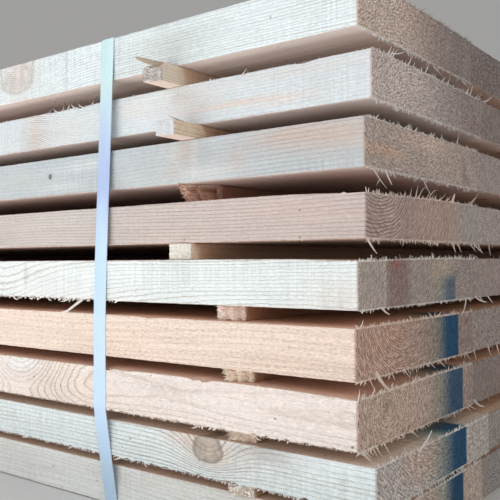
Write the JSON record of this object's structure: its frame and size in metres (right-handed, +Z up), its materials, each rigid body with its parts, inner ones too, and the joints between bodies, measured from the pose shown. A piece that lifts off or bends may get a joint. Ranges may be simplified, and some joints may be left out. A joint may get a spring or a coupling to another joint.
{
  "type": "strapped stack of lumber",
  "caption": "Rough-sawn softwood boards laid flat in layers, held apart by stickers for air and bound with plastic straps.",
  "frame": {"origin": "under the middle of the stack, on the floor that the straps lie on", "axes": "+X along the boards towards the near end, +Y from the front long side to the back, +Z up"},
  "size_m": [3.9208, 1.1852, 0.4416],
  "materials": {
    "sawn_board": "rough-sawn, unplaned, fuzzy ends",
    "sticker_wood": "rough-sawn strips, broken ends",
    "strap_plastic": "smooth, slightly translucent band"
  },
  "bodies": {
    "root": {"boards_layer_1": "sawn_board", "boards_layer_2": "sawn_board", "boards_layer_3": "sawn_board", "boards_layer_4": "sawn_board", "boards_layer_5": "sawn_board", "boards_layer_6": "sawn_board", "boards_layer_7": "sawn_board", "boards_layer_8": "sawn_board", "boards_layer_9": "sawn_board", "stickers_gap_1": "sticker_wood", "stickers_gap_2": "sticker_wood", "stickers_gap_3": "sticker_wood", "stickers_gap_4": "sticker_wood", "stickers_gap_5": "sticker_wood", "stickers_gap_6": "sticker_wood", "stickers_gap_7": "sticker_wood", "stickers_gap_8": "sticker_wood", "strap_far": "strap_plastic", "strap_middle": "strap_plastic", "strap_near": "strap_plastic"}
  },
  "joints": []
}
